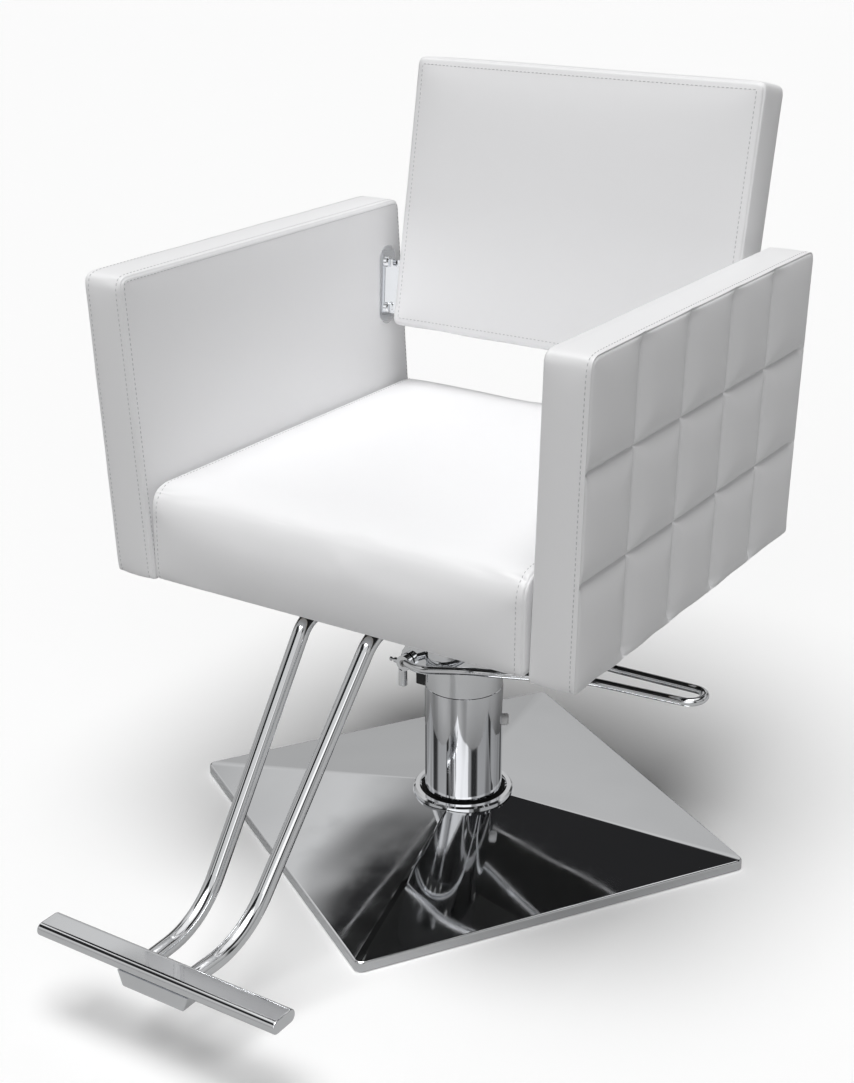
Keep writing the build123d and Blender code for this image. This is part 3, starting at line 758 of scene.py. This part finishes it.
def make_arm(name, side):
    """Padded box arm: plain inner panel, quilted outer panel, and a boxing strip round the edge."""
    low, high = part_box("right_arm_pad")
    centre = (low + high) / 2
    half = tuple((high - low) / 2)
    columns, rows = quilt_marks(half[1], QUILT_COLUMNS), quilt_marks(half[2], QUILT_ROWS)
    grid = BoxGrid(name, half, (FINE_STEP,) * 3, ((), columns, rows))
    if side < 0:
        grid.faces = [f[::-1] for f in grid.faces]
    box = round_profile(grid.box, half, 0, *ARM_ROUNDING)
    outer = grid.on_face(0, 1)
    to_line = np.minimum(grid.to_mark(1), grid.to_mark(2))
    edge = np.minimum(half[1] - np.abs(grid.box[:, 1]), half[2] - np.abs(grid.box[:, 2]))
    channel = np.exp(-to_line / QUILT_SLOPE) * np.clip(edge / QUILT_MARGIN, 0.25, 1)
    pulled = QUILT_DEPTH * channel + PANEL_GATHER * gather(edge, PANEL_GATHER_REACH)
    box[:, 0] -= np.where(outer, pulled, 0)
    points = flare(box + np.array(centre), low, high, side)
    seam = grid.on_end(0) & (grid.on_end(1) | grid.on_end(2))
    quilt = outer & (to_line < ON_LINE)
    bottom = grid.on_face(2, -1)
    pinned = np.where(seam | quilt | bottom, 1.0, 0.0)
    cushion = Cushion(grid, points, pinned, ARM_PRESSURE, ARM_SWELL)
    cushion.seam, cushion.quilt, cushion.bottom = seam, quilt, bottom
    cushion.stitch_lines = arm_stitch_lines(grid, half, side)
    return cushion


def arm_stitch_lines(grid, half, side):
    """Rows on the strip; the left arm's inner seam is double-stitched, the right arm's is plain."""
    strip = half[0] - STITCH_INSET
    lines = [hoop(grid, half, strip, 0.0)]
    if side < 0:
        lines += [hoop(grid, half, -strip, 0.0), hoop(grid, half, -half[0], PANEL_ROW_INSET)]
    return lines


def hoop(grid, half, x, inset):
    """Grid path at one place across: up the front, over the top and down the back."""
    y, z = half[1] - inset, half[2] - inset
    front = grid.path({0: x, 1: -y}, 2)
    top = grid.path({0: x, 2: z}, 1)
    back = grid.path({0: x, 1: y}, 2, reverse=True)
    if not inset:
        return front, top, back
    return front[:-2], top[2:-2], back[2:]


def finish_arm(cushion):
    grid, half = cushion.grid, cushion.grid.half
    seam_depth = np.where(cushion.seam & ~cushion.bottom, ARM_SEAM_PULL, 0.0)
    quilt_depth = np.where(cushion.quilt, QUILT_SEAM_PULL, 0.0)
    strip = ~grid.on_end(0)
    beside = np.abs(half[0] - STITCH_INSET - np.abs(grid.box[:, 0])) < ON_LINE
    stitch_depth = np.where(strip & beside, STITCH_PULL, 0.0)
    low_edge = gather(grid.box[:, 2] + half[2], 18 * MM)
    sag = low_edge * smooth_noise(grid.box, 75, 5) * 2.0 * MM
    waves = ARM_WAVES * smooth_noise(read_points(cushion.obj.data), 26, 11)
    cushion.press(seam_depth + quilt_depth + stitch_depth + sag + waves)


# ---- Seat -----------------------------------------------------------------------------------

def make_seat():
    """Seat cushion with a waterfall front: one panel over top and front, boxing at the sides."""
    low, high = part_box("seat_cushion")
    centre, half = (low + high) / 2, tuple((high - low) / 2)
    grid = BoxGrid("seat_upholstery", half, (COARSE_STEP, COARSE_STEP, FINE_STEP))
    box = round_profile(grid.box, half, 0, *SEAT_ROUNDING)
    u, v, w = (grid.box / np.array(half)).T
    top, front = grid.on_face(2, 1), grid.on_face(1, -1)
    box[:, 2] += np.where(top, SEAT_TOP_CROWN * (1 - u ** 2) * (1 - v ** 2) ** 1.5, 0)
    box[:, 1] -= np.where(front, SEAT_FRONT_CROWN * (1 - u ** 4) * (1 - w ** 2) ** 1.5, 0)
    bottom = grid.on_face(2, -1)
    recess = bottom & (half[0] - np.abs(grid.box[:, 0]) > RECESS_RIM)
    recess &= grid.box[:, 1] + half[1] > RECESS_FRONT_RIM
    recess &= half[1] - grid.box[:, 1] > RECESS_RIM
    box[:, 2] += np.where(recess, RECESS_DEPTH, 0)
    points = box + np.array(centre)
    seam = grid.on_end(0) & (grid.on_end(1) | grid.on_end(2))
    pinned = np.where(seam | bottom, 1.0, 0.0)
    cushion = Cushion(grid, points, pinned, PAD_PRESSURE, PAD_SWELL)
    cushion.seam, cushion.bottom = seam, bottom
    strip = half[0] - STITCH_INSET
    cushion.stitch_lines = [hoop(grid, half, x, 0.0) for x in (-strip, strip)]
    return cushion


def finish_seat(cushion):
    grid, half = cushion.grid, cushion.grid.half
    seam_depth = np.where(cushion.seam & ~cushion.bottom, PAD_SEAM_PULL, 0.0)
    low_edge = np.where(cushion.bottom, 0, gather(grid.box[:, 2] + half[2], 20 * MM))
    sag = low_edge * smooth_noise(grid.box, 60, 8) * 2.5 * MM
    waves = PAD_WAVES * smooth_noise(read_points(cushion.obj.data), 18, 21)
    cushion.press(seam_depth + sag + waves)


# ---- Backrest -------------------------------------------------------------------------------

def make_backrest():
    """Backrest pad: front and back panels joined by a boxing strip, leaned back."""
    low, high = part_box("backrest_cushion")
    half = ((high.x - low.x) / 2, BACK_THICK / 2, BACK_HEIGHT / 2)
    grid = BoxGrid("backrest_upholstery", half, (COARSE_STEP, FINE_STEP, COARSE_STEP))
    box = round_profile(grid.box, half, 1, *BACK_ROUNDING)
    u, w = grid.box[:, 0] / half[0], grid.box[:, 2] / half[2]
    crown = ((1 - u ** 2) * (1 - w ** 2)) ** 0.8
    box[:, 1] -= np.where(grid.on_face(1, -1), BACK_FRONT_CROWN, 0) * crown
    box[:, 1] += np.where(grid.on_face(1, 1), BACK_REAR_CROWN, 0) * crown
    centre = box + np.array([0, half[1], half[2]])
    cos, sin = math.cos(BACK_TILT), math.sin(BACK_TILT)
    y = low.y + centre[:, 1] * cos + centre[:, 2] * sin
    z = low.z + BACK_THICK * sin - centre[:, 1] * sin + centre[:, 2] * cos
    points = np.stack([centre[:, 0], y, z], 1)
    seam = grid.on_end(1) & (grid.on_end(0) | grid.on_end(2))
    cushion = Cushion(grid, points, np.where(seam, 1.0, 0.0), PAD_PRESSURE, PAD_SWELL)
    cushion.seam = seam
    return cushion


def finish_backrest(cushion):
    grid, half = cushion.grid, cushion.grid.half
    seam_depth = np.where(cushion.seam, PAD_SEAM_PULL, 0.0)
    low_edge = gather(grid.box[:, 2] + half[2], 30 * MM)
    pucker = low_edge * smooth_noise(grid.box, 90, 3) * 1.6 * MM
    waves = PAD_WAVES * smooth_noise(read_points(cushion.obj.data), 18, 31)
    cushion.press(seam_depth + pucker + waves)


def backrest_lines(grid, half):
    """Top-stitching all round the front panel, just inside its seam."""
    y = -half[1]
    x, z = half[0] - STITCH_INSET, half[2] - STITCH_INSET
    bottom = grid.path({1: y, 2: -z}, 0)
    right = grid.path({1: y, 0: x}, 2)
    top = grid.path({1: y, 2: z}, 0, reverse=True)
    left = grid.path({1: y, 0: -x}, 2, reverse=True)
    to_corner = 3
    return [line[to_corner:-to_corner] for line in (bottom, right, top, left)]


# ---- Making the chair -----------------------------------------------------------------------

def make_bellows():
    """The plunger's boot, which on the real chair flattens on to the barrel as the lever is pressed;
    here it is only copied into a mesh of its own on the seat unit.
    """
    boot = NODES["plunger_boot"]
    bellows = bpy.data.objects.new("plunger_bellows", boot.data.copy())
    bellows.matrix_world = boot.matrix_world
    bpy.context.scene.collection.objects.link(bellows)
    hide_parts("plunger_boot")
    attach(bellows, "seat_unit")
    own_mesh(bellows)


def upholster():
    seat = make_seat()
    back = make_backrest()
    left = make_arm("left_arm_upholstery", -1)
    right = make_arm("right_arm_upholstery", 1)
    cushions = [seat, back, left, right]
    simulate(cushions)
    finish_seat(seat)
    finish_backrest(back)
    finish_arm(left)
    finish_arm(right)
    replaced = ("seat_cushion", "backrest_cushion", "left_arm_pad", "right_arm_pad")
    fills = (0.7, 0.7, 0.8, 0.8)
    for cushion, node, fill in zip(cushions, replaced, fills):
        cushion.subdivide()
        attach(cushion.obj, "seat_unit")
        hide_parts(node)
    for cushion in (left, right, seat):
        runs = [run_on(cushion, *paths) for paths in cushion.stitch_lines]
        stitch_mesh(cushion.obj.name.replace("upholstery", "stitches"), runs)
    runs = [run_on(back, line) for line in backrest_lines(back.grid, back.grid.half)]
    stitch_mesh("backrest_stitches", runs)


make_camera()
make_world()
make_lights()
make_floor()
bpy.context.scene.view_settings.view_transform = "Standard"
leatherette()
dull("stitch_thread", (1500, 1), [(0.35, (0.46, 0.46, 0.47)), (0.65, (0.62, 0.62, 0.63))],
     (0.0002, 0.6), 0.6)
dress_cad_nodes()
upholster()
make_bellows()
